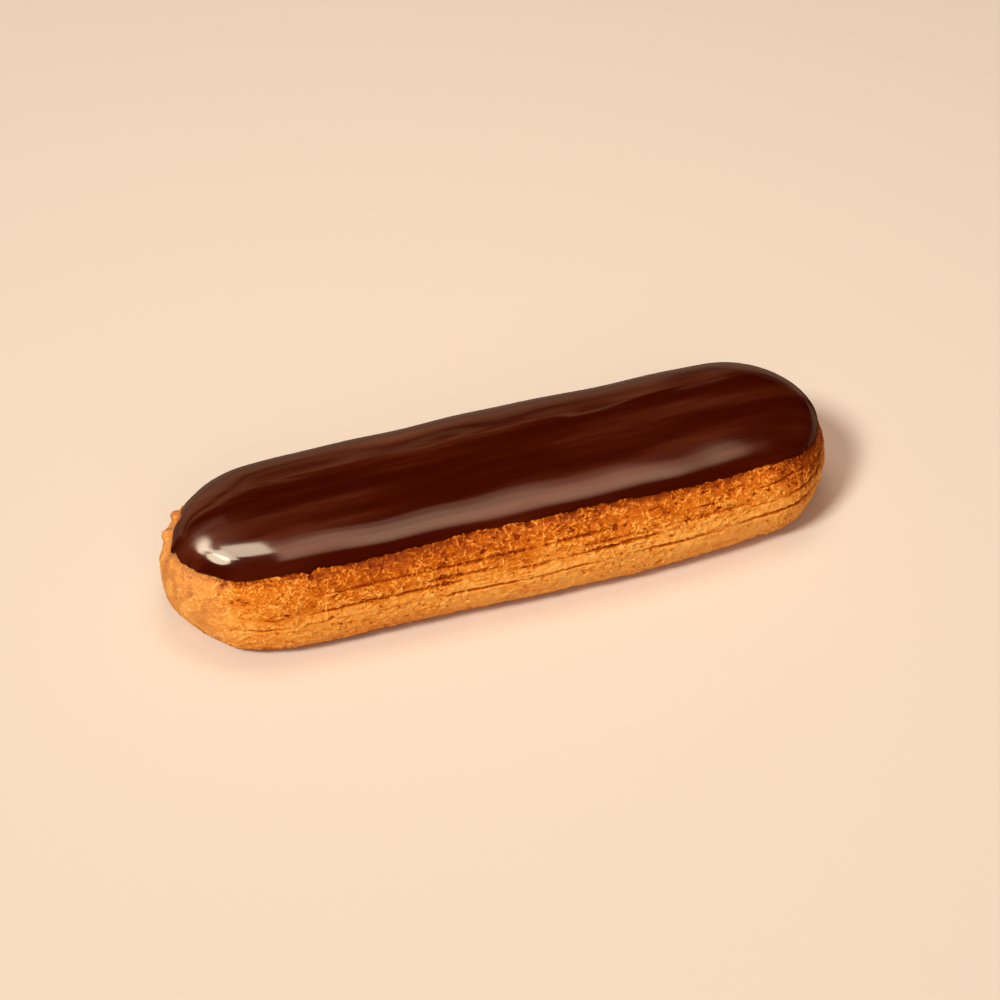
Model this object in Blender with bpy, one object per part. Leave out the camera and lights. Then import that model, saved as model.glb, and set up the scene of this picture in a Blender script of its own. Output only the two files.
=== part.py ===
"""A chocolate eclair: a baked choux bun with piped ridges, and chocolate icing set on its top.

Metres, +Z up. The bun lies along X on the XY plane, and the middle of the whole is over the
origin. Both pieces start as a UV sphere. Each vertex is carried to a place that is worked out
from the plan (a straight centre line with a rounded end at either side) and from one half
cross-section, so the icing follows the bun at an even distance.
"""

import math

import bmesh
import bpy
import numpy as np
from mathutils import Vector

# The bun's plan and half cross-section. A belly is the share by which a side bulges at the
# middle, and its lean is how much more of that share lies to the right.
LENGTH = 0.140
HALF_WIDTH = 0.0195
BASE_HALF_WIDTH = 0.0127
WIDEST_HEIGHT = 0.0108
CROWN_HEIGHT = 0.0225
SHOULDER_POWER = 2.8
DOME_POWER = 2.3
LEFT_END_STRETCH = 1.08
RIGHT_END_STRETCH = 0.92
LEFT_FOOT = LEFT_END_STRETCH * HALF_WIDTH - LENGTH / 2
RIGHT_FOOT = LENGTH / 2 - RIGHT_END_STRETCH * HALF_WIDTH
FRONT_BELLY = 0.187
FRONT_BELLY_LEAN = 0.143
BACK_BELLY = 0.137
BACK_BELLY_LEAN = -0.089
RISE_TO_RIGHT = 0.012

# The grooves that the piping nozzle left in the bun's side, each with its distance up the side
# and its depth, and the waves in which they stray together: crests round the plan, height, phase.
GROOVES = ((0.0128, 0.00062), (0.0157, 0.00034), (0.0171, 0.00026), (0.0193, 0.00026))
GROOVE_HALF_WIDTH = 0.00050
GROOVE_WAVES = ((2, 0.00040, 1.7), (9, 0.00012, 0.3))

# The slow swells of the baked skin: height, waves per metre of X, Y and Z in radians, and phase.
SWELLS = ((0.00010, 95, 60, 0, 0.8), (0.00007, 190, 0, -110, 2.3), (0.00006, 300, 130, 160, 4.1))
SWELLS_FADE_IN = 0.0035

# The icing, measured up the bun's side from the rim of its base, and outwards from its skin. The
# waves of its edge are like those of the grooves.
ICING_EDGE = 0.0238
ICING_EDGE_DIP_AT_ENDS = 0.0024
ICING_EDGE_WAVES = ((1, 0.0005, -2.7), (3, 0.0002, -2.9), (7, 0.0003, 0.8), (12, 0.0002, 1.2))
ICING_THICKNESS = 0.0013
ICING_LIP = 0.0011
ICING_LEVELS_OUT = 0.0050
ICING_GAP = 0.0003
GROOVES_FADE_UNDER_ICING = 0.0015

# Mesh density: stations round the plan, and rows up the skin as distances up the side.
STATIONS = 108
END_SHARE = 28 / STATIONS
SIDE_SHARE = 0.5 - END_SHARE
SECTION_SAMPLES = 400
BASE_ROWS = (0.0, 0.0016, 0.0032, 0.0048)
FIRST_SIDE_ROW = 0.00632
SIDE_ROW_STEP = 0.00072
SIDE_ROWS = 25
SHOULDER_ROWS = (0.0254, 0.0268, 0.0286, 0.0308)
CROWN_SCALES = (0.86, 0.68, 0.46, 0.22, 0.0)
LIP_ROWS = (0.0, 0.00012, 0.00045, 0.0011)
SMOOTH_UP_TO = math.radians(50)

BUN_COLOUR = (0.72, 0.30, 0.06, 1.0)
BUN_ROUGHNESS = 0.55
ICING_COLOUR = (0.045, 0.010, 0.004, 1.0)
ICING_ROUGHNESS = 0.15


def clear_scene():
    """Removes whatever the file opened with."""
    for obj in list(bpy.data.objects):
        bpy.data.objects.remove(obj, do_unlink=True)


def half_section():
    """The bun's half cross-section as columns of across, up, outward across, outward up and distance.

    A quarter ellipse climbs from the rim of the flat base to the widest height, and a quarter
    superellipse goes on to the crown. Distance runs along the curve from the base's rim.
    """
    turn = np.linspace(0, math.pi / 2, SECTION_SAMPLES)
    low = np.column_stack((
        BASE_HALF_WIDTH + (HALF_WIDTH - BASE_HALF_WIDTH) * np.sin(turn),
        WIDEST_HEIGHT * (1 - np.cos(turn)),
    ))
    high = np.column_stack((
        HALF_WIDTH * np.cos(turn) ** (2 / SHOULDER_POWER),
        WIDEST_HEIGHT + (CROWN_HEIGHT - WIDEST_HEIGHT) * np.sin(turn) ** (2 / DOME_POWER),
    ))
    curve = np.vstack((low, high[1:]))
    steps = np.hypot(*np.diff(curve, axis=0).T)
    distance = np.concatenate(([0.0], np.cumsum(steps)))
    along = np.gradient(curve, distance, axis=0)
    along /= np.linalg.norm(along, axis=1)[:, None]
    return np.column_stack((curve, along[:, 1], -along[:, 0], distance))


SECTION = half_section()


def on_section(distance):
    """(across, up, outward across, outward up) at a distance up the half section."""
    return [float(np.interp(distance, SECTION[:, 4], SECTION[:, i])) for i in range(4)]


def outline(share):
    """(foot x, outward x, outward y) at a share of the way round the plan, anticlockwise from above.

    The way round starts where the right end meets the front, goes round that end, along the
    back, round the left end and along the front. An end is a half circle stretched along X.
    """
    if share < END_SHARE:
        turn = math.pi * (share / END_SHARE - 0.5)
        return RIGHT_FOOT, RIGHT_END_STRETCH * math.cos(turn), math.sin(turn)
    if share < 0.5:
        run = (share - END_SHARE) / SIDE_SHARE
        return RIGHT_FOOT + (LEFT_FOOT - RIGHT_FOOT) * run, 0.0, 1.0
    if share < 0.5 + END_SHARE:
        turn = math.pi * ((share - 0.5) / END_SHARE - 0.5)
        return LEFT_FOOT, -LEFT_END_STRETCH * math.cos(turn), -math.sin(turn)
    run = (share - 0.5 - END_SHARE) / SIDE_SHARE
    return LEFT_FOOT + (RIGHT_FOOT - LEFT_FOOT) * run, 0.0, -1.0


def swell(x, y, z):
    """How far the baked skin stands proud at a point: the sum of the slow swells."""
    return sum(
        height * math.sin(along_x * x + along_y * y + along_z * z + phase)
        for height, along_x, along_y, along_z, phase in SWELLS
    )


def shaped(x, y, z):
    """The point with the bun's belly, which leans to the right in front, and its rise to the right."""
    reach = x / (LENGTH / 2)
    belly = FRONT_BELLY + FRONT_BELLY_LEAN * reach if y < 0 else BACK_BELLY + BACK_BELLY_LEAN * reach
    return Vector((x, y * (1 + belly * (1 - reach * reach)), z * (1 + RISE_TO_RIGHT * reach)))


def side_point(share, distance, lift):
    """A point at a distance up the side, lifted off the bun's skin."""
    foot, outward_x, outward_y = outline(share)
    across, up, out_across, out_up = on_section(distance)
    x, y = foot + across * outward_x, across * outward_y
    fade = min(distance / SWELLS_FADE_IN, 1.0)
    out = lift + fade * fade * swell(x, y, up)
    across += out * out_across
    return shaped(foot + across * outward_x, across * outward_y, up + out * out_up)


def crown_point(share, scale, lift):
    """A point of the crown: the last shoulder row, drawn in to a scale of its size.

    Its height is the half section's where the section is as far from the centre line.
    """
    foot, outward_x, outward_y = outline(share)
    across, _, out_across, _ = on_section(SHOULDER_ROWS[-1])
    reach = across + lift * out_across
    x, y = scale * (foot + reach * outward_x), scale * reach * outward_y
    past = max((x - RIGHT_FOOT) / RIGHT_END_STRETCH, (LEFT_FOOT - x) / LEFT_END_STRETCH, 0.0)
    crown = SECTION[::-1][:SECTION_SAMPLES]
    up = np.interp(math.hypot(past, y), crown[:, 0] + lift * crown[:, 2], crown[:, 1] + lift * crown[:, 3])
    return shaped(x, y, up + swell(x, y, up))


def around(share, waves):
    """The sum of waves that each go up and down a whole number of times round the plan."""
    return sum(height * math.sin(crests * math.tau * share + phase) for crests, height, phase in waves)


def icing_edge(share):
    """Distance up the side at which the icing ends: it dips at both ends and wavers all round."""
    foot, outward_x, _ = outline(share)
    reach = (foot + outward_x * HALF_WIDTH) / (LENGTH / 2)
    return ICING_EDGE - ICING_EDGE_DIP_AT_ENDS * reach ** 4 + around(share, ICING_EDGE_WAVES)


def groove_point(share, level):
    """A point of the piped side. Levels wander together, and the grooves keep to their levels."""
    distance = level + around(share, GROOVE_WAVES)
    cut = sum(depth * math.exp(-(((level - at) / GROOVE_HALF_WIDTH) ** 2)) for at, depth in GROOVES)
    below_icing = (icing_edge(share) - distance) / GROOVES_FADE_UNDER_ICING
    return side_point(share, distance, -cut * min(max(below_icing, 0.0), 1.0))


def shaped_sphere(name, rows, material):
    """A UV sphere with one ring for each row, from the bottom pole up.

    A row is a function that gives a vertex's place from its share of the way round the plan.
    """
    shell = bmesh.new()
    bmesh.ops.create_uvsphere(shell, u_segments=STATIONS, v_segments=len(rows) - 1, radius=1)
    for vertex in shell.verts:
        share = math.atan2(vertex.co.y, vertex.co.x) / math.tau % 1.0
        polar = math.acos(min(max(vertex.co.z, -1.0), 1.0))
        row = round((1 - polar / math.pi) * (len(rows) - 1))
        vertex.co = rows[row](round(share * STATIONS) / STATIONS % 1.0)
    mesh = bpy.data.meshes.new(name)
    shell.to_mesh(mesh)
    shell.free()
    mesh.shade_smooth()
    mesh.set_sharp_from_angle(angle=SMOOTH_UP_TO)
    mesh.materials.append(material)
    return bpy.data.objects.new(name, mesh)


def finish(name, colour, roughness):
    """A plain Principled BSDF of the piece's colour."""
    material = bpy.data.materials.new(name)
    material.use_nodes = True
    shader = material.node_tree.nodes["Principled BSDF"]
    shader.inputs["Base Color"].default_value = colour
    shader.inputs["Roughness"].default_value = roughness
    shader.inputs["Metallic"].default_value = 0.0
    return material


def bun_rows():
    """The bun's rows: the flat base, the grooved side, the seat under the icing and the crown."""
    rows = [lambda share: Vector((0.0, 0.0, 0.0))]
    for distance in BASE_ROWS:
        rows.append(lambda share, d=distance: side_point(share, d, 0.0))
    for i in range(SIDE_ROWS):
        rows.append(lambda share, l=FIRST_SIDE_ROW + i * SIDE_ROW_STEP: groove_point(share, l))
    for distance in SHOULDER_ROWS:
        rows.append(lambda share, d=distance: side_point(share, d, 0.0))
    for scale in CROWN_SCALES:
        rows.append(lambda share, s=scale: crown_point(share, s, 0.0))
    return rows


def icing_lift(past_edge):
    """How far the icing's skin stands off the bun at a distance past its edge: a round lip, then level."""
    left = 1 - min(past_edge / ICING_LIP, 1.0)
    settled = min(past_edge / ICING_LEVELS_OUT, 1.0)
    thickness = ICING_LIP + (ICING_THICKNESS - ICING_LIP) * settled
    return ICING_GAP + (thickness - ICING_GAP) * math.sqrt(1 - left * left)


def icing_rows():
    """The icing's rows: its underside from the crown down to the edge, then its skin back up."""
    rows = []
    for scale in reversed(CROWN_SCALES):
        rows.append(lambda share, s=scale: crown_point(share, s, ICING_GAP))
    for distance in reversed(SHOULDER_ROWS):
        rows.append(lambda share, d=distance: side_point(share, d, ICING_GAP))
    for past in LIP_ROWS:
        rows.append(lambda share, p=past: side_point(share, icing_edge(share) + p, icing_lift(p)))
    for distance in SHOULDER_ROWS:
        rows.append(lambda share, d=distance: side_point(share, d, icing_lift(d - icing_edge(share))))
    for scale in CROWN_SCALES:
        rows.append(lambda share, s=scale: crown_point(share, s, ICING_THICKNESS))
    return rows


def centre_on_origin(pieces):
    """Moves the pieces together so that the middle of their plan is on the origin."""
    points = [vertex.co for piece in pieces for vertex in piece.data.vertices]
    middle_x = (min(p.x for p in points) + max(p.x for p in points)) / 2
    middle_y = (min(p.y for p in points) + max(p.y for p in points)) / 2
    for piece in pieces:
        piece.location = (-middle_x, -middle_y, 0.0)


def main():
    clear_scene()
    eclair = bpy.data.collections.new("chocolate_eclair")
    bpy.context.scene.collection.children.link(eclair)
    bun = shaped_sphere("choux_bun", bun_rows(), finish("baked_choux", BUN_COLOUR, BUN_ROUGHNESS))
    icing = shaped_sphere(
        "chocolate_icing", icing_rows(), finish("chocolate_icing", ICING_COLOUR, ICING_ROUGHNESS)
    )
    for piece in (bun, icing):
        eclair.objects.link(piece)
    centre_on_origin((bun, icing))


main()
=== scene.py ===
"""The looks of a chocolate eclair: its baked choux crust and its coat of chocolate icing.

Metres, +Z up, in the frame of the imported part. The eclair lies along X on z = 0, its left end is
nearest the camera, and -Y is its front.
"""

import itertools
import math

import bpy
import numpy as np
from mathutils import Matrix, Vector


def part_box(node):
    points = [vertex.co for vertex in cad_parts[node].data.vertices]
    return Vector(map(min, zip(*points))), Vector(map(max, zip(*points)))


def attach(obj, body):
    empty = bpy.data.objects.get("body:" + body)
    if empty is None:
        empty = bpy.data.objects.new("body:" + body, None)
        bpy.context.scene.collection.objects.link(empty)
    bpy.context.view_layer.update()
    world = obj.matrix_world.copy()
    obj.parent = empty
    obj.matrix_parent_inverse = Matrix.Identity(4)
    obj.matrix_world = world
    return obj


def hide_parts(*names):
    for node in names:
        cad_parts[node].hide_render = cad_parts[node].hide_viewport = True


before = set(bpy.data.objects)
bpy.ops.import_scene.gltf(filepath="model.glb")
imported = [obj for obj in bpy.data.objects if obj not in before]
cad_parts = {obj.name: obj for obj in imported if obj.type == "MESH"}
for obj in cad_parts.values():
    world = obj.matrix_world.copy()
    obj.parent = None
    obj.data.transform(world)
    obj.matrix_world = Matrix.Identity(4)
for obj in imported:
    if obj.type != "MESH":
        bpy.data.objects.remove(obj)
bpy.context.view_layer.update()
MM = 0.001


# The choux bun. Choux paste is piped through a toothed nozzle as one thick line, and it puffs up
# in the oven: the grooves of the piping open into a torn skin of thin strands, with pits between
# them where steam came out. The crust is one closed skin, finely gridded where it shows.

LENGTH = 140 * MM
HALF_WIDTH = 19.5 * MM
BASE_HALF_WIDTH = 12.7 * MM
WIDEST_HEIGHT = 10.8 * MM
CROWN_HEIGHT = 22.5 * MM
SHOULDER_POWER = 2.8
DOME_POWER = 2.3
LEFT_END_STRETCH = 1.08
RIGHT_END_STRETCH = 0.92
LEFT_FOOT = LEFT_END_STRETCH * HALF_WIDTH - LENGTH / 2
RIGHT_FOOT = LENGTH / 2 - RIGHT_END_STRETCH * HALF_WIDTH
FRONT_BELLY = 0.187
FRONT_BELLY_LEAN = 0.143
BACK_BELLY = 0.137
BACK_BELLY_LEAN = -0.089
RISE_TO_RIGHT = 0.012

# Of 108 equal parts of the way round the plan, 28 go round each end.
END_SHARE = 28 / 108
SIDE_SHARE = 0.5 - END_SHARE

# Each groove's distance up the side and its depth, and the waves that they all share: crests round
# the plan, height and phase.
GROOVES = (
    (12.8 * MM, 0.62 * MM), (15.7 * MM, 0.34 * MM), (17.1 * MM, 0.26 * MM), (19.3 * MM, 0.26 * MM),
)
GROOVE_HALF_WIDTH = 0.34 * MM
GROOVE_WAVES = ((2, 0.40 * MM, 1.7), (9, 0.12 * MM, 0.3))

# The slow unevenness: each wave's height, its radians for each metre of x, y and z, and its phase.
SWELLS = ((0.10 * MM, 95, 60, 0, 0.8), (0.07 * MM, 190, 0, -110, 2.3), (0.06 * MM, 300, 130, 160, 4.1))
SWELLS_FADE_IN = 3.5 * MM

# The icing's edge, which the stain on the crust follows: how far up the side it is, how much lower
# at the ends and the back, its waves, and the places where it ran less far or, below 0, further, as
# the share of the way round, and half the width and the height in mm.
ICING_EDGE = 23.8 * MM
ICING_EDGE_DIP_AT_ENDS = 2.4 * MM
ICING_EDGE_DIP_AT_BACK = 1.8 * MM
ICING_EDGE_WAVES = ((1, 0.5 * MM, -2.7), (3, 0.2 * MM, -2.9), (7, 0.3 * MM, 0.8), (12, 0.2 * MM, 1.2))
ICING_RUNS = ((0.590, 2.2, 1.2), (0.624, 1.3, -0.8), (0.767, 0.8, -0.9))

# Marks given one by one, each as the share of the way round, and the distance up the side, the radius
# and the height in mm.
CRUST_BALLS = ((0.598, 20.6, 1.7, 1.30), (0.577, 21.8, 1.5, 1.15))
CRUST_SWELLS = ((0.612, 17.5, 2.2, 0.50), (0.668, 7.5, 11.0, -0.75), (0.826, 9.8, 0.4, 0.30))
CRUST_DENTS = (
    (0.669, 17.1, 1.1, -0.22), (0.644, 17.4, 1.0, -0.16), (0.697, 21.2, 0.6, -0.30),
    (0.914, 19.5, 1.0, -0.50), (0.919, 19.6, 0.6, -0.35), (0.020, 22.3, 0.6, -0.50),
    (0.033, 19.6, 0.7, -0.50), (0.058, 16.4, 0.6, -0.50), (0.021, 17.4, 0.5, -0.35),
    (0.826, 9.8, 0.8, -0.35), (0.840, 10.1, 0.5, -0.30), (0.781, 9.7, 0.6, -0.35),
    (0.774, 13.3, 1.1, -0.40), (0.898, 10.2, 0.6, -0.30),
)

# The fine relief: heights and depths, and the seed and the cell of each noise that is drawn as
# threads.
OVERHANG = 0.16 * MM
LAYER_DEPTH = 0.12 * MM
LAYER_NOISES = ((25, 1.5 * MM), (27, 0.9 * MM))
STRAND_HEIGHT = 0.26 * MM
STRAND_NOISES = ((31, 2.6 * MM), (32, 1.7 * MM), (33, 1.3 * MM), (35, 1.0 * MM))
PUFF_HEIGHT = 0.28 * MM
GRAIN_HEIGHT = 0.07 * MM
PIT_DEPTH = 0.36 * MM
HOLE_DEPTH = 0.45 * MM

# The grid's rows by distance up the side, closest where the crust shows, and how far the first and
# the last ring are drawn in to close the base and the top.
CRUST_COLUMNS = 1020
CRUST_ROWS = np.concatenate((
    np.linspace(0.0, 6.4, 9, endpoint=False),
    np.linspace(6.4, 24.9, 78),
    (26.0, 28.0, 30.8),
)) * MM
BASE_SCALES = (0.4, 0.8)
CROWN_SCALES = (0.8, 0.5, 0.25)


def half_section(samples=800):
    """Across, up, outward across, outward up and distance along half of the bun's cross-section.

    A quarter ellipse from the rim of the base to the widest height, then a quarter superellipse
    to the crown. Outward is the unit normal, and distance runs along the curve from the base.
    """
    turn = np.linspace(0, np.pi / 2, samples)
    low = np.stack((
        BASE_HALF_WIDTH + (HALF_WIDTH - BASE_HALF_WIDTH) * np.sin(turn),
        WIDEST_HEIGHT * (1 - np.cos(turn)),
    ))
    high = np.stack((
        HALF_WIDTH * np.cos(turn).clip(0) ** (2 / SHOULDER_POWER),
        WIDEST_HEIGHT + (CROWN_HEIGHT - WIDEST_HEIGHT) * np.sin(turn) ** (2 / DOME_POWER),
    ))
    curve = np.hstack((low, high[:, 1:]))
    distance = np.concatenate(([0.0], np.cumsum(np.hypot(*np.diff(curve)))))
    along = np.gradient(curve, distance, axis=1)
    along /= np.hypot(*along)
    return np.stack((*curve, along[1], -along[0], distance))


SECTION = half_section()
CROWN_SECTION = SECTION[:, SECTION[1] >= WIDEST_HEIGHT][:, ::-1]


def section_at(distance):
    """Across, up, outward across and outward up of the cross-section at distances along it."""
    return [np.interp(distance, SECTION[4], column) for column in SECTION[:4]]


def plan(share):
    """Foot on the centre line, and the outward step in x and y, at shares of the way round.

    The way runs anticlockwise from above: right end, back, left end, front. An end is half a
    circle stretched along X, and a side is straight.
    """
    share = share % 1.0
    right = share < END_SHARE
    back = (share >= END_SHARE) & (share < 0.5)
    left = (share >= 0.5) & (share < 0.5 + END_SHARE)
    turn = np.pi * (np.where(right, share, share - 0.5) / END_SHARE - 0.5)
    run = (np.where(back, share, share - 0.5) - END_SHARE) / SIDE_SHARE
    foot = np.select(
        [right, back, left],
        [RIGHT_FOOT, RIGHT_FOOT + (LEFT_FOOT - RIGHT_FOOT) * run, LEFT_FOOT],
        LEFT_FOOT + (RIGHT_FOOT - LEFT_FOOT) * run,
    )
    step_x = np.select(
        [right, left],
        [RIGHT_END_STRETCH * np.cos(turn), -LEFT_END_STRETCH * np.cos(turn)],
        0.0,
    )
    step_y = np.select([right, back, left], [np.sin(turn), 1.0, -np.sin(turn)], -1.0)
    return foot, step_x, step_y


def swell(x, y, z):
    """The bun's slow unevenness: a sum of sine waves of the place."""
    return sum(h * np.sin(kx * x + ky * y + kz * z + phase) for h, kx, ky, kz, phase in SWELLS)


def shaped(x, y, z):
    """The place with the bun's belly, y widened by a share that is 0 at the ends, and its rise in z."""
    reach = x / (LENGTH / 2)
    belly = np.where(y < 0, FRONT_BELLY + FRONT_BELLY_LEAN * reach, BACK_BELLY + BACK_BELLY_LEAN * reach)
    return np.stack((x, y * (1 + belly * (1 - reach**2)), z * (1 + RISE_TO_RIGHT * reach)), axis=-1)


def side(share, distance, lift):
    """Places at distances up the side, lifted off the smooth bun along the section's normal.

    The slow unevenness is added to the lift, and it grows in from the base.
    """
    foot, step_x, step_y = plan(share)
    across, up, out_across, out_up = section_at(distance)
    grown = np.clip(distance / SWELLS_FADE_IN, 0, 1) ** 2
    out = lift + grown * swell(foot + across * step_x, across * step_y, up)
    across = across + out * out_across
    return shaped(foot + across * step_x, across * step_y, up + out * out_up)


def crown(share, last_distance, scale, lift):
    """Places on the top: the ring at the last distance drawn in to a scale of its size.

    The height is the cross-section's at the place's distance from the centre line.
    """
    foot, step_x, step_y = plan(share)
    last_across, _, last_out, _ = section_at(last_distance)
    reach = last_across + lift * last_out
    x = scale * (foot + reach * step_x)
    y = scale * reach * step_y
    past = np.maximum((x - RIGHT_FOOT) / RIGHT_END_STRETCH, (LEFT_FOOT - x) / LEFT_END_STRETCH).clip(0)
    across, up, out_across, out_up = CROWN_SECTION[:4]
    height = np.interp(np.hypot(past, y), across + lift * out_across, up + lift * out_up)
    return shaped(x, y, height + swell(x, y, height))


def way_round(samples=20000):
    """Shares of the way round the plan, and the length of the bun's widest line up to each of them."""
    share = np.linspace(0, 1, samples)
    line = side(share, 14 * MM, 0.0)
    return share, np.concatenate(([0.0], np.cumsum(np.linalg.norm(np.diff(line, axis=0), axis=1))))


WAY_SHARES, WAY_LENGTHS = way_round()


def even_shares(columns):
    """Shares of the way round that step evenly along the bun's widest line."""
    return np.interp(np.arange(columns) / columns * WAY_LENGTHS[-1], WAY_LENGTHS, WAY_SHARES)


def unrolled(share, distance, stretch=1.0):
    """The crust's skin as a tube: its way round is the tube's, so that noise meets itself.

    A stretch over 1 makes the tube that much smaller round, which draws noise on it out lengthwise.
    """
    turn = math.tau * np.interp(share, WAY_SHARES, WAY_LENGTHS) / WAY_LENGTHS[-1]
    radius = WAY_LENGTHS[-1] / math.tau / stretch
    return np.stack(np.broadcast_arrays(radius * np.cos(turn), radius * np.sin(turn), distance), axis=-1)


def around(share, waves):
    """The sum of sine waves that each have a whole number of crests round the plan."""
    return sum(height * np.sin(crests * math.tau * share + phase) for crests, height, phase in waves)


def cloud(points, cell, seed):
    """Gradient noise from about -1 to 1.

    Each corner of a lattice has a random slope, and a point blends the eight slopes round it by
    the smooth step 6t^5 - 15t^4 + 10t^3.
    """
    rng = np.random.default_rng(seed)
    slopes = rng.normal(size=(256, 3))
    slopes /= np.linalg.norm(slopes, axis=1)[:, None]
    order = rng.permutation(256)
    corner = np.floor(points / cell).astype(int)
    within = points / cell - corner
    ease = within**3 * (within * (within * 6 - 15) + 10)
    total = 0.0
    for step in itertools.product((0, 1), repeat=3):
        key = 0
        for axis in range(3):
            key = order[(key + corner[..., axis] + step[axis]) & 255]
        weight = np.prod(np.where(np.array(step) == 1, ease, 1 - ease), axis=-1)
        total = total + weight * np.sum(slopes[key] * (within - step), axis=-1)
    return total * 1.6


def bowls(points, cell, seed, smallest, largest, kept):
    """Round bowls from 0 outside to 1 at their middles.

    Each lattice cell has one random middle, a random radius, and a bowl only in the kept share of
    the cells. A bowl's depth is the smooth step of 1 - (distance / radius)^2.
    """
    rng = np.random.default_rng(seed)
    table = rng.random((4096, 5))
    corner = np.floor(points / cell).astype(int)
    deepest = np.zeros(points.shape[:-1])
    for step in itertools.product((-1, 0, 1), repeat=3):
        at = corner + step
        key = (at[..., 0] * 73 + at[..., 1] * 1291 + at[..., 2] * 397) & 4095
        middle = (at + table[key, :3]) * cell
        radius = smallest + (largest - smallest) * table[key, 3] ** 2
        near = (1 - np.sum((points - middle) ** 2, axis=-1) / radius**2).clip(0)
        deepest = np.maximum(deepest, near * near * (3 - 2 * near) * (table[key, 4] < kept))
    return deepest


def threads(field, distance, width):
    """1 along the zero lines of a field over the grid, falling to 0 at about two widths from them.

    How far off a line is, is the field's value over its slope, both along and up the skin.
    """
    along = WAY_LENGTHS[-1] / field.shape[1]
    slope_along = (np.roll(field, -1, axis=1) - np.roll(field, 1, axis=1)) / (2 * along)
    slope_up = np.gradient(field, distance[:, 0], axis=0)
    away = field / (np.hypot(slope_along, slope_up) + 1e-9)
    return np.exp(-((away / width) ** 2))


def ease_between(value, low, high):
    """The smooth step from 0 at low to 1 at high."""
    t = np.clip((value - low) / (high - low), 0, 1)
    return t * t * (3 - 2 * t)


def marks(share, distance, places, power):
    """Lift of the round lumps and dents that are given one by one.

    A height falls off as 1 - (distance / radius)^2 raised to a power: 1 for a ball, 2 for a bowl.
    """
    here = unrolled(share, distance)
    lift = 0.0
    for at_share, at_distance, radius, height in places:
        middle = unrolled(at_share, at_distance * MM)
        near = (1 - np.sum((here - middle) ** 2, axis=-1) / (radius * MM) ** 2).clip(0)
        lift = lift + height * MM * near**power
    return lift


def icing_edge(share):
    """Distance up the side where the icing ends, first without and then with its fine wobble.

    Waves round the plan, a dip at the ends and the back, and Gaussians at the places where it ran
    further or less far.
    """
    foot, step_x, step_y = plan(share)
    reach = (foot + step_x * HALF_WIDTH) / (LENGTH / 2)
    edge = ICING_EDGE - ICING_EDGE_DIP_AT_ENDS * reach**4 + around(share, ICING_EDGE_WAVES)
    edge = edge - ICING_EDGE_DIP_AT_BACK * ease_between(step_y, 0.8, 1.0)
    skin = unrolled(share, ICING_EDGE)
    wobble = 0.24 * MM * cloud(skin, 3.2 * MM, 61) + 0.22 * MM * cloud(skin, 1.2 * MM, 62)
    for at_share, half_width, height in ICING_RUNS:
        off = np.linalg.norm(skin - unrolled(at_share, ICING_EDGE), axis=-1)
        wobble = wobble + height * MM * np.exp(-((off / (half_width * MM)) ** 2))
    return edge, edge + wobble


def piped_grooves(level, x, drawn_long):
    """Depth of the grooves of the piping, which fade towards the left end.

    Each is a Gaussian dip at its own level. Noise drawn out along it opens and shuts it.
    """
    groove = 0.0
    for number, (at, depth) in enumerate(GROOVES):
        open_here = (0.50 + 1.6 * cloud(drawn_long, 2.2 * MM, 16 + number)).clip(0.08, 1.3)
        half_width = GROOVE_HALF_WIDTH * (0.6 + open_here / 2)
        groove = groove + depth * open_here * np.exp(-(((level - at) / half_width) ** 2))
    return groove * (1 - 0.85 * ease_between(-x, 50 * MM, 62 * MM))


def torn_layers(distance, drawn, drawn_long, left_end):
    """Tears between the layers of the skin, from 0 to 1: threads drawn out long and broken by noise."""
    layer = 0.0
    for seed, cell in LAYER_NOISES:
        broken = ease_between(cloud(drawn, 2.4 * MM, seed + 1), -0.1, 0.3) * (1 - 0.8 * left_end)
        layer = np.maximum(layer, broken * threads(cloud(drawn_long, cell, seed), distance, 0.13 * MM))
    return layer


def curled_strands(distance, skin, curled):
    """Fine strands, from 0 to 1: threads of warped noise in four sizes, broken by more noise."""
    strand = 0.0
    for seed, cell in STRAND_NOISES:
        broken = ease_between(cloud(skin, 1.6 * MM, seed + 10), -0.1, 0.3)
        strand = np.maximum(strand, broken * threads(cloud(curled, cell, seed), distance, 0.14 * MM))
    return strand


def painted_hollow_shade(groove, layer, pits, holes, dents, torn, puff):
    """How much painted shade a place in the hollows gets, from 0 to 1: the deepest of all that goes in."""
    hollow_shade = 0.9 * (groove / (0.40 * MM)).clip(0, 1) + 0.55 * layer
    hollow_shade = np.maximum(hollow_shade, np.maximum(0.85 * pits, holes))
    hollow_shade = np.maximum(hollow_shade, (-dents / (0.35 * MM)).clip(0, 1)).clip(0, 1)
    return np.maximum(hollow_shade, 0.45 * torn * (1 - puff / 0.14).clip(0, 1))


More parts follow.
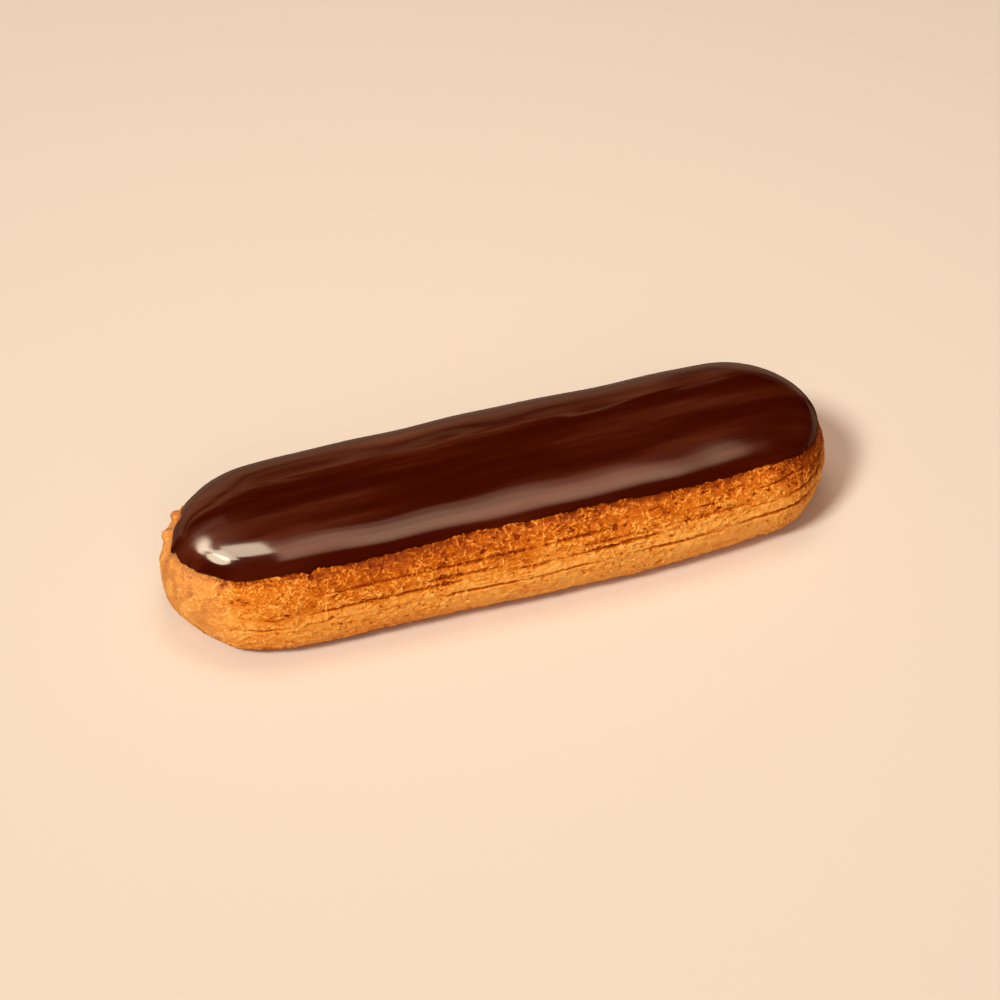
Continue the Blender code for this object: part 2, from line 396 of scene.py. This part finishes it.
def bake_and_shade_tone(share, distance, x, upper, left_end, right_end, balls):
    """How pale the crust is, from about 0 for dark to 1 for pale: its bake with some painted shade.

    Noise on a middle tone. The lower half is paler, and the left end has pale patches. Darker are
    the band under the icing, most of all to the right, the right end, the rim of the base, the
    balls, and the stain that follows the icing's edge. The darkening at the right end and the rim
    of the base is partly a browner bake and partly painted shade.
    """
    skin = unrolled(share, distance)
    drawn = unrolled(share, distance, 2.2)
    tone = 0.66 + 0.10 * cloud(skin, 9 * MM, 51) + 0.12 * cloud(drawn, 2.5 * MM, 52)
    tone = tone + left_end * (0.30 * ease_between(cloud(skin, 3.4 * MM, 54), -0.25, 0.05) - 0.17)
    tone = tone - 0.08 * ease_between(-x, 10 * MM, 30 * MM)
    high = ease_between(distance, 14 * MM, 22.5 * MM)
    # Darker towards the icing; the extra at the right end is partly painted shade.
    tone = tone - (0.44 - 0.30 * ease_between(-x, 38 * MM, 56 * MM) + 0.16 * right_end) * high
    # The lower half is paler; the right end is darker, partly a browner bake and partly painted shade.
    tone = tone + 0.15 * (1 - upper) - 0.22 * right_end + 0.03 + 0.05 * x / (50 * MM)
    # Darker round the rim of the base, partly a browner underside and partly painted shade where the crust
    # curves under.
    tone = tone - 0.45 * (1 - ease_between(distance, 4.0 * MM, 5.6 * MM))
    below = icing_edge(share[:1])[1] - distance
    patchy = (0.75 + 1.0 * cloud(drawn, 2.4 * MM, 53)).clip(0, 1)
    stain = (1 - ease_between(below, 0.3 * MM, 1.8 * MM)) * patchy
    return tone - 0.34 * stain - 0.20 * (balls / (0.6 * MM)).clip(0, 1)


def crust_relief(share, distance, x):
    """Lift off the smooth bun, and the masks of the crust's colours, over the crust's grid.

    The lift is slow noise, less the grooves and the torn layers, plus the skin that hangs over the
    lowest groove, plus the strands and the puffed grain between them, less the pits and holes, plus
    the listed marks. The left end is less torn, and all of it grows in above the base.
    """
    skin = unrolled(share, distance)
    drawn = unrolled(share, distance, 2.2)
    drawn_long = unrolled(share, distance, 7.0)
    curled = skin + 0.55 * MM * np.stack([cloud(skin, 1.9 * MM, 20 + i) for i in range(3)], axis=-1)
    level = distance - around(share, GROOVE_WAVES)
    level = level + 0.18 * MM * cloud(drawn, 4 * MM, 11) + 0.10 * MM * cloud(skin, 1.3 * MM, 12)
    above_base = ease_between(distance, 1.5 * MM, 4.0 * MM)
    upper = ease_between(level, 13.2 * MM, 17.0 * MM)
    left_end = ease_between(-x, 59 * MM, 66 * MM)
    right_end = ease_between(x, 46 * MM, 62 * MM)
    patchy = (0.95 + 0.5 * cloud(skin, 6 * MM, 13)).clip(0.4, 1.3)
    torn = (0.78 + 0.22 * upper) * (1 - 0.3 * left_end) * patchy

    groove = piped_grooves(level, x, drawn_long)
    layer = torn_layers(distance, drawn, drawn_long, left_end)
    over = level - GROOVES[0][0]
    hanging = ease_between(over, 0.1 * MM, 0.7 * MM) * (1 - ease_between(over, 0.8 * MM, 2.4 * MM))
    lift = 0.15 * MM * cloud(skin, 9 * MM, 14) + 0.09 * MM * cloud(drawn, 3.5 * MM, 15)
    lift = lift - groove + OVERHANG * hanging * (1 - left_end) - LAYER_DEPTH * layer

    strand = curled_strands(distance, skin, curled) * torn
    puff = np.abs(cloud(curled, 1.6 * MM, 34))
    lift = lift + STRAND_HEIGHT * strand + PUFF_HEIGHT * torn * (puff - 0.3)
    lift = lift + GRAIN_HEIGHT * (0.4 + 0.6 * torn) * cloud(skin, 0.6 * MM, 43)

    pitted = 0.3 + 0.7 * torn
    pits = bowls(unrolled(share, distance, 1.5), 1.5 * MM, 41, 0.30 * MM, 0.70 * MM, 0.40)
    pits = pits * pitted * (1 - strand)
    holes = bowls(curled, 4.2 * MM, 42, 0.5 * MM, 1.2 * MM, 0.30) * pitted * (1 - left_end)
    dents = marks(share, distance, CRUST_DENTS, 2)
    balls = marks(share, distance, CRUST_BALLS, 1)
    lift = lift - PIT_DEPTH * pits - HOLE_DEPTH * holes + dents
    lift = lift + balls + marks(share, distance, CRUST_SWELLS, 2)

    masks = {
        # the strands, which the crust's shader also paints pale as a painted highlight
        "strand": strand,
        # painted shade in the grooves, tears, pits, holes and dents
        "hollow_shade": painted_hollow_shade(groove, layer, pits, holes, dents, torn, puff) * above_base,
        "tone": bake_and_shade_tone(share, distance, x, upper, left_end, right_end, balls),
        "smooth": left_end,
    }
    return lift * above_base, masks


def closed_skin(name, rings, bottom, top, masks):
    """A mesh of rings of points from the bottom up, joined by quads, with a fan to a point at each end."""
    rows, columns = rings.shape[:2]
    points = np.concatenate((rings.reshape(-1, 3), [bottom, top]))
    column = np.arange(columns)
    after = np.roll(column, -1)
    row = np.arange(rows - 1)[:, None] * columns
    quads = np.stack((row + column, row + after, row + columns + after, row + columns + column), axis=-1)
    last = (rows - 1) * columns
    low_fan = np.stack((after, column, np.full(columns, rows * columns)), axis=-1)
    high_fan = np.stack((last + column, last + after, np.full(columns, rows * columns + 1)), axis=-1)
    corners = np.concatenate((quads.ravel(), low_fan.ravel(), high_fan.ravel()))
    sizes = np.concatenate((np.full(quads.size // 4, 4), np.full(2 * columns, 3)))
    starts = np.concatenate(([0], np.cumsum(sizes)[:-1]))
    mesh = bpy.data.meshes.new(name)
    mesh.vertices.add(len(points))
    mesh.vertices.foreach_set("co", points.astype(np.float32).ravel())
    mesh.loops.add(len(corners))
    mesh.loops.foreach_set("vertex_index", corners.astype(np.int32))
    mesh.polygons.add(len(sizes))
    mesh.polygons.foreach_set("loop_start", starts.astype(np.int32))
    for label, values in masks.items():
        attribute = mesh.attributes.new(label, "FLOAT", "POINT")
        attribute.data.foreach_set("value", np.concatenate((values.ravel(), [0.0, 0.0])).astype(np.float32))
    mesh.update(calc_edges=True)
    mesh.validate()
    mesh.shade_smooth()
    piece = bpy.data.objects.new(name, mesh)
    bpy.context.scene.collection.objects.link(piece)
    return piece


def crust_skin():
    """The bun's rings from the base to the crown, their masks, and the middle of the smooth bun."""
    share, distance = np.broadcast_arrays(even_shares(CRUST_COLUMNS)[None, :], CRUST_ROWS[:, None])
    smooth = side(share, distance, 0.0)
    lift, masks = crust_relief(share, distance, smooth[..., 0])
    rings = side(share, distance, lift)
    flat = np.zeros((CRUST_COLUMNS, 1))
    base = [np.append(scale * rings[0][:, :2], flat, axis=1) for scale in BASE_SCALES]
    top = [crown(share[0], CRUST_ROWS[-1], scale, 0.0) for scale in CROWN_SCALES]
    for label, values in masks.items():
        under = np.repeat(values[:1], len(base), axis=0)
        over = np.repeat(values[-1:], len(top), axis=0)
        masks[label] = np.concatenate((under, values, over))
    middle = (smooth.min(axis=(0, 1)) + smooth.max(axis=(0, 1)))[:2] / 2
    return np.concatenate((base, rings, top)), masks, middle


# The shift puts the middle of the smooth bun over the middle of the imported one.
crust_rings, crust_masks, own_middle = crust_skin()
bun_low, bun_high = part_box("choux_bun")
SHIFT = np.array([*((np.array(bun_low) + np.array(bun_high))[:2] / 2 - own_middle), 0.0])
crust_top = crown(np.zeros(1), CRUST_ROWS[-1], 0.0, 0.0)[0]
crust = closed_skin("crust", crust_rings + SHIFT, SHIFT, crust_top + SHIFT, crust_masks)


def fill(tree, socket, value):
    """Links the socket to another one, or sets its value."""
    if isinstance(value, bpy.types.NodeSocket):
        tree.links.new(value, socket)
    else:
        socket.default_value = value


def new_node(tree, kind, settings=None, **inputs):
    """Adds a shader node, sets its own settings, and fills its inputs by name."""
    node = tree.nodes.new(kind)
    for key, value in (settings or {}).items():
        setattr(node, key, value)
    for key, value in inputs.items():
        fill(tree, node.inputs[key.replace("_", " ")], value)
    return node


def maths(tree, operation, *values):
    """A maths node's result, of numbers or sockets."""
    node = new_node(tree, "ShaderNodeMath", {"operation": operation})
    for socket, value in zip(node.inputs, values):
        fill(tree, socket, value)
    return node.outputs[0]


def eased(tree, value, low, high, to_low=0.0, to_high=1.0):
    """The value's smooth step from to_low at low to to_high at high."""
    return new_node(
        tree, "ShaderNodeMapRange", {"interpolation_type": "SMOOTHSTEP"},
        Value=value, From_Min=low, From_Max=high, To_Min=to_low, To_Max=to_high,
    ).outputs[0]


def mixed(tree, factor, first, second):
    """A colour mix of two colours, each a socket or a value, by a factor."""
    node = new_node(tree, "ShaderNodeMix", {"data_type": "RGBA"})
    for number, value in ((0, factor), (6, first), (7, second)):
        fill(tree, node.inputs[number], value)
    return node.outputs[2]


def linear(red, green, blue):
    """A colour as seen on a screen, 0 to 255, as the linear RGBA that shaders take."""
    seen = np.array((red, green, blue)) / 255
    light = np.where(seen <= 0.04045, seen / 12.92, ((seen + 0.055) / 1.055) ** 2.4)
    return (*light.tolist(), 1.0)


def ramp(tree, factor, stops):
    """A colour ramp through (place, colour) stops."""
    node = new_node(tree, "ShaderNodeValToRGB", Fac=factor)
    elements = node.color_ramp.elements
    while len(elements) < len(stops):
        elements.new(1.0)
    for element, (place, colour) in zip(elements, stops):
        element.position = place
        element.color = colour
    return node.outputs[0]


def baked_choux():
    """Golden crust whose one ramp goes from dark red brown to pale gold.

    The tone mask and noise raise a place on the ramp, the strands and curls raise it as a painted
    highlight, and hollows and pores lower it as painted shade.
    """
    material = bpy.data.materials.new("baked_choux")
    material.use_nodes = True
    tree = material.node_tree
    shader = tree.nodes["Principled BSDF"]
    place = new_node(tree, "ShaderNodeTexCoord").outputs["Object"]
    tone, strand, hollow_shade, smooth = (
        new_node(tree, "ShaderNodeAttribute", {"attribute_name": name}).outputs["Fac"]
        for name in ("tone", "strand", "hollow_shade", "smooth")
    )

    def noise(scale, detail, roughness=0.6, distortion=0.0):
        """Noise of the place, from 0 to 1."""
        return new_node(
            tree, "ShaderNodeTexNoise",
            Vector=place, Scale=scale, Detail=detail, Roughness=roughness, Distortion=distortion,
        ).outputs[0]

    def fine_thread(scale, distortion):
        """1 where distorted noise is near its middle value, and 0 elsewhere."""
        off = maths(tree, "ABSOLUTE", maths(tree, "SUBTRACT", noise(scale, 1.0, 0.5, distortion), 0.5))
        return eased(tree, off, 0.045, 0.0)

    grain = noise(3600.0, 3.0, 0.7)
    torn = eased(tree, smooth, 1.0, 0.0, 0.65, 1.0)
    curls = maths(tree, "MAXIMUM", fine_thread(1150.0, 1.6), fine_thread(760.0, 2.4))
    curls = maths(tree, "MULTIPLY", curls, torn)
    cells = new_node(tree, "ShaderNodeTexVoronoi", Vector=place, Scale=640.0)
    picked = new_node(tree, "ShaderNodeSeparateColor", Color=cells.outputs["Color"]).outputs[0]
    dot = eased(tree, cells.outputs["Distance"], 0.28, 0.12)
    pore = maths(tree, "MULTIPLY", dot, maths(tree, "GREATER_THAN", picked, 0.6))
    ragged = maths(tree, "MULTIPLY_ADD", grain, 0.7, -0.35)
    strand = eased(tree, maths(tree, "ADD", strand, ragged), 0.25, 0.60)
    hollow_shade = eased(tree, maths(tree, "ADD", hollow_shade, ragged), 0.12, 0.75)

    tone = maths(tree, "ADD", tone, -0.62)
    for part, weight in (
        (noise(700.0, 3.0), 0.80),
        (grain, 0.44),
        # painted highlight on the strands' crests
        (strand, 0.40),
        # painted highlight on the curls
        (curls, 0.28),
        # painted shade in the hollows
        (hollow_shade, -0.55),
        # painted shade in the pores
        (pore, -0.45),
    ):
        tone = maths(tree, "MULTIPLY_ADD", part, weight, tone)
    colour = ramp(tree, tone, (
        (0.00, linear(128, 45, 0)),
        (0.25, linear(182, 82, 2)),
        (0.50, linear(216, 114, 18)),
        (0.75, linear(240, 147, 48)),
        (1.00, linear(255, 182, 86)),
    ))
    colour = mixed(tree, maths(tree, "MULTIPLY", smooth, 0.38), colour, linear(228, 168, 96))
    fill(tree, shader.inputs["Base Color"], colour)

    height = maths(tree, "MULTIPLY_ADD", curls, 0.9, maths(tree, "MULTIPLY_ADD", pore, -1.6, grain))
    bump = new_node(tree, "ShaderNodeBump", Strength=0.8, Distance=0.10 * MM, Height=height)
    fill(tree, shader.inputs["Normal"], bump.outputs[0])
    fill(tree, shader.inputs["Roughness"], eased(tree, grain, 0.2, 0.8, 0.5, 0.7))
    fill(tree, shader.inputs["Specular IOR Level"], 0.15)
    return material


crust.data.materials.append(baked_choux())
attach(crust, "root")
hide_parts("choux_bun")


# The icing. Warm chocolate icing is laid on the bun's top in one coat, and it runs a little way
# down the shoulder before it sets, so it ends in a round lip that wavers. It clings to the crust,
# into which its skin is sunk a little.

ICING_COLUMNS = 900
ICING_THICKNESS = 1.3 * MM
ICING_LEAST = 0.6 * MM
ICING_LEVELS_OUT = 4.4 * MM
ICING_SUNK = 0.15 * MM
ICING_SIDE_TOP = 33.0 * MM

# Where the back is thicker: share of the way round, reach as a share, and height in mm.
ICING_THICKER_AT_BACK = (
    (0.478, 0.035, 0.75), (0.405, 0.045, 0.30), (0.330, 0.035, 0.45), (0.275, 0.022, 0.25),
)

# The grid: the underside's scales of its top ring and its distances up the side, the lip's height
# and turn, the coat's steps from the lip to the top of the side, and the scales that close it.
ICING_UNDER_SCALES = (0.3, 0.7)
ICING_UNDER_ROWS = (31 * MM, 28 * MM, 26 * MM)
ICING_LIP = 0.8 * MM
LIP_TURN = np.linspace(0, math.radians(75), 12)
ICING_ROWS = np.linspace(0, 1, 38)[1:]
ICING_CROWN_SCALES = np.linspace(0.97, 0.03, 34)


def icing_thickness(share, distance, even_edge):
    """The coat's even thickness, and what its waves and the thicker back add.

    The even thickness is the full one less what is missing at the edge times the square of how
    near the edge is. The waves are noise drawn out lengthwise, and the back has broad Gaussians
    that fade out towards the crown.
    """
    near_edge = 1 - np.clip((distance - even_edge) / ICING_LEVELS_OUT, 0, 1)
    even = ICING_LEAST + (ICING_THICKNESS - ICING_LEAST) * (1 - near_edge**2)
    drawn = unrolled(share, distance, 2.6)
    ripple = MM * (0.12 * cloud(drawn, 8 * MM, 63) + 0.008 * cloud(drawn, 3.4 * MM, 64))
    thicker = sum(
        height * MM * np.exp(-(((share - at) / reach) ** 2)) for at, reach, height in ICING_THICKER_AT_BACK
    )
    return even, ripple + thicker * (1 - ease_between(distance, 26 * MM, ICING_SIDE_TOP))


def icing_skin():
    """The icing's rings: a plain underside, the lip that rolls out from its edge, and the coat above.

    The lip goes out as the sine and up as 1 - cosine of its turn. The coat's rows step evenly from
    the lip to where the side ends, and it thickens as it goes up.
    """
    share = even_shares(ICING_COLUMNS)
    even_edge, edge = icing_edge(share)
    under = [crown(share, ICING_SIDE_TOP, scale, 0.0) for scale in ICING_UNDER_SCALES]
    under += [side(share, distance, -ICING_SUNK) for distance in ICING_UNDER_ROWS]
    lip = []
    lip_top = sum(icing_thickness(share, edge + ICING_LIP, even_edge))
    for turn in LIP_TURN:
        distance = edge + ICING_LIP * (1 - math.cos(turn)) / (1 - math.cos(LIP_TURN[-1]))
        out = -ICING_SUNK + (lip_top + ICING_SUNK) * math.sin(turn) / math.sin(LIP_TURN[-1])
        lip.append(side(share, distance, out))
    coat = []
    for step in ICING_ROWS:
        distance = (edge + ICING_LIP) * (1 - step) + ICING_SIDE_TOP * step
        coat.append(side(share, distance, sum(icing_thickness(share, distance, even_edge))))
    top = []
    ripple = icing_thickness(share, ICING_SIDE_TOP, even_edge)[1]
    for scale in ICING_CROWN_SCALES:
        ring = crown(share, ICING_SIDE_TOP, scale, ICING_THICKNESS)
        ring[:, 2] += ripple * scale**2
        top.append(ring)
    return np.array(under + lip + coat + top)


icing_under = crown(np.zeros(1), ICING_SIDE_TOP, 0.0, 0.0)[0]
icing_top = crown(np.zeros(1), ICING_SIDE_TOP, 0.0, ICING_THICKNESS)[0]
icing = closed_skin("icing", icing_skin() + SHIFT, icing_under + SHIFT, icing_top + SHIFT, {})


def set_chocolate():
    """Glossy, almost black brown icing, with faint lengthwise streaks: lighter ones in its colour, which
    are a painted reflection, and duller ones in its roughness.
    """
    material = bpy.data.materials.new("chocolate_icing")
    material.use_nodes = True
    tree = material.node_tree
    shader = tree.nodes["Principled BSDF"]
    place = new_node(tree, "ShaderNodeTexCoord").outputs["Object"]
    drawn = new_node(tree, "ShaderNodeMapping", Vector=place, Scale=(0.12, 1.0, 0.5)).outputs[0]
    streaks = new_node(
        tree, "ShaderNodeTexNoise", Vector=drawn, Scale=230.0, Detail=3.0, Roughness=0.5,
    ).outputs[0]
    # The streaks run from the icing's own dark brown to a lighter brown that is a painted reflection.
    colour = ramp(tree, streaks, (
        (0.40, linear(56, 9, 1)),
        (0.52, linear(64, 15, 3)),
        (0.72, linear(84, 33, 14)),
    ))
    fill(tree, shader.inputs["Base Color"], colour)
    dull = new_node(tree, "ShaderNodeTexNoise", Vector=drawn, Scale=110.0, Detail=2.0).outputs[0]
    roughness = new_node(
        tree, "ShaderNodeMapRange", Value=dull, From_Min=0.3, From_Max=0.7, To_Min=0.06, To_Max=0.19,
    ).outputs[0]
    fill(tree, shader.inputs["Roughness"], roughness)
    return material


icing.data.materials.append(set_chocolate())
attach(icing, "root")
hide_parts("chocolate_icing")


# The studio: a pale cream floor, a lamp for the shadow and softer ones to fill it, panels that are
# seen only as reflections in the icing, and the camera where the photograph was taken from.

FLOOR_SIDE = 6.0
LAMP_WHITE = (0.96, 1.0, 1.0)
LAMP_PEACH = (1.0, 0.80, 0.72)
LAMP_CREAM = (1.0, 0.82, 0.60)
LAMP_AMBER = (1.0, 0.60, 0.38)
LAMP_RUST = (1.0, 0.46, 0.22)


def cream_floor():
    """A flat square of cream board under the eclair, which is kept out of the icing's reflections."""
    bpy.ops.mesh.primitive_plane_add(size=FLOOR_SIDE)
    floor = bpy.context.object
    floor.name = "floor"
    floor.visible_glossy = False
    material = bpy.data.materials.new("cream_board")
    material.use_nodes = True
    shader = material.node_tree.nodes["Principled BSDF"]
    shader.inputs["Base Color"].default_value = (0.795, 0.655, 0.508, 1.0)
    shader.inputs["Roughness"].default_value = 0.9
    shader.inputs["Specular IOR Level"].default_value = 0.1
    floor.data.materials.append(material)
    return floor


cream_floor()


def panel(name, place, aim, size, watts, tint, for_gloss):
    """A rectangular lamp at a place, facing the aim.

    A lamp for gloss is seen only as a reflection, and any other lights only what is matt.
    """
    lamp = bpy.data.lights.new(name, "AREA")
    lamp.shape = "RECTANGLE"
    lamp.size, lamp.size_y = size
    lamp.energy = watts
    lamp.color = tint
    holder = bpy.data.objects.new(name, lamp)
    bpy.context.scene.collection.objects.link(holder)
    holder.location = place
    holder.rotation_euler = (holder.location - Vector(aim)).to_track_quat("Z", "Y").to_euler()
    holder.visible_glossy = for_gloss
    holder.visible_diffuse = not for_gloss
    return holder


def ceiling_panel(name, height, left, right, front, back, watts_per_area, tint):
    """A lamp for gloss that hangs level at a height, between places given as slopes from the eclair."""
    place = ((left + right) / 2 * height, (front + back) / 2 * height, height)
    size = ((right - left) * height, (back - front) * height)
    aim = (place[0], place[1], 0.0)
    return panel(name, place, aim, size, watts_per_area * size[0] * size[1], tint, True)


def ceiling_ellipse(name, height, left, right, front, back, watts_per_area, tint, degrees):
    """A ceiling panel cut to an ellipse and turned about its middle."""
    holder = ceiling_panel(name, height, left, right, front, back, watts_per_area, tint)
    holder.data.shape = "ELLIPSE"
    holder.rotation_euler.z = math.radians(degrees)


panel("key", (-3.65, -2.18, 4.24), (0, 0, 0), (1.26, 1.26), 336.0, LAMP_WHITE, False)
panel("fill", (-0.90, -4.90, 3.35), (0, 0, 0), (3.20, 3.20), 108.0, LAMP_PEACH, False)
panel("above", (0.0, 0.03, 0.36), (0, 0, 0), (0.18, 0.18), 0.41, LAMP_PEACH, False)

# Panels hang at different heights, since those that overlap in one plane hide each other.
ceiling_panel("gloss_band", 2.0, 0.165, 0.46, -0.13, 0.20, 3.9, LAMP_AMBER)
ceiling_panel("gloss_band_middle", 2.1, 0.13, 0.46, -0.23, 0.40, 5.8, LAMP_AMBER)
ceiling_panel("gloss_band_edge", 2.2, 0.11, 0.43, -0.30, 0.53, 4.3, LAMP_AMBER)
ceiling_panel("gloss_streak", 2.2, -0.60, 0.05, 0.96, 1.22, 1.7, LAMP_AMBER)
ceiling_panel("gloss_window_tail", 2.3, -0.28, 0.125, 0.23, 0.60, 38.0, LAMP_CREAM)
ceiling_panel("gloss_window_right", 2.3, -0.56, -0.28, 0.11, 0.53, 47.0, LAMP_CREAM)
ceiling_panel("gloss_window_neck", 2.3, -0.60, -0.42, 0.53, 0.64, 44.0, LAMP_CREAM)
ceiling_ellipse("gloss_window_slant", 2.4, -0.97, -0.40, -0.05, 0.46, 46.0, LAMP_CREAM, 32)
ceiling_ellipse("gloss_window_spot", 2.4, -0.99, -0.29, 0.57, 0.84, 46.0, LAMP_CREAM, 24)
panel("gloss_rim", (0.4, 1.8, -0.20), (0.4, 0, -0.20), (3.4, 0.90), 2.7, LAMP_AMBER, True)
panel("gloss_rim_glow", (0.4, 1.9, 0.0), (0.4, 0, 0.0), (3.4, 1.20), 1.1, LAMP_AMBER, True)
panel("gloss_rim_high", (-0.20, 1.8, 0.50), (-0.20, 0, 0.50), (1.9, 0.50), 1.7, LAMP_RUST, True)
panel("gloss_back_streak", (-0.20, 1.8, 0.95), (-0.20, 0, 0.95), (2.1, 0.13), 0.55, LAMP_RUST, True)
panel("gloss_rim_right", (1.8, 0.6, -0.38), (0, 0.6, -0.38), (1.6, 0.90), 1.2, LAMP_AMBER, True)

world = bpy.data.worlds.new("studio")
world.use_nodes = True
background = world.node_tree.nodes["Background"]
background.inputs["Color"].default_value = (1.0, 0.77, 0.61, 1.0)
background.inputs["Strength"].default_value = 0.13
world.cycles_visibility.glossy = False
bpy.context.scene.world = world
bpy.context.scene.view_settings.view_transform = "Standard"

CAMERA_TURN = math.radians(-21.29)
CAMERA_RISE = math.radians(38.0)
CAMERA_DISTANCE = 0.6025
LOOK_AT = np.array([0.0, 0.0, 15 * MM])
LOOK_RIGHT = 0.2 * MM
LOOK_UP = -2.7 * MM


def photograph_camera():
    """A long lens that looks down from the front, aimed a little off the look-at point."""
    back = np.array([
        math.sin(CAMERA_TURN) * math.cos(CAMERA_RISE),
        -math.cos(CAMERA_TURN) * math.cos(CAMERA_RISE),
        math.sin(CAMERA_RISE),
    ])
    right = np.array([math.cos(CAMERA_TURN), math.sin(CAMERA_TURN), 0.0])
    up = np.cross(back, right)
    camera = bpy.data.objects.new("camera", bpy.data.cameras.new("camera"))
    bpy.context.scene.collection.objects.link(camera)
    camera.data.sensor_width = 36.0
    camera.data.lens = 108.0
    camera.location = LOOK_AT + SHIFT + right * LOOK_RIGHT + up * LOOK_UP + back * CAMERA_DISTANCE
    camera.rotation_euler = (math.pi / 2 - CAMERA_RISE, 0.0, CAMERA_TURN)
    return camera


bpy.context.scene.camera = photograph_camera()
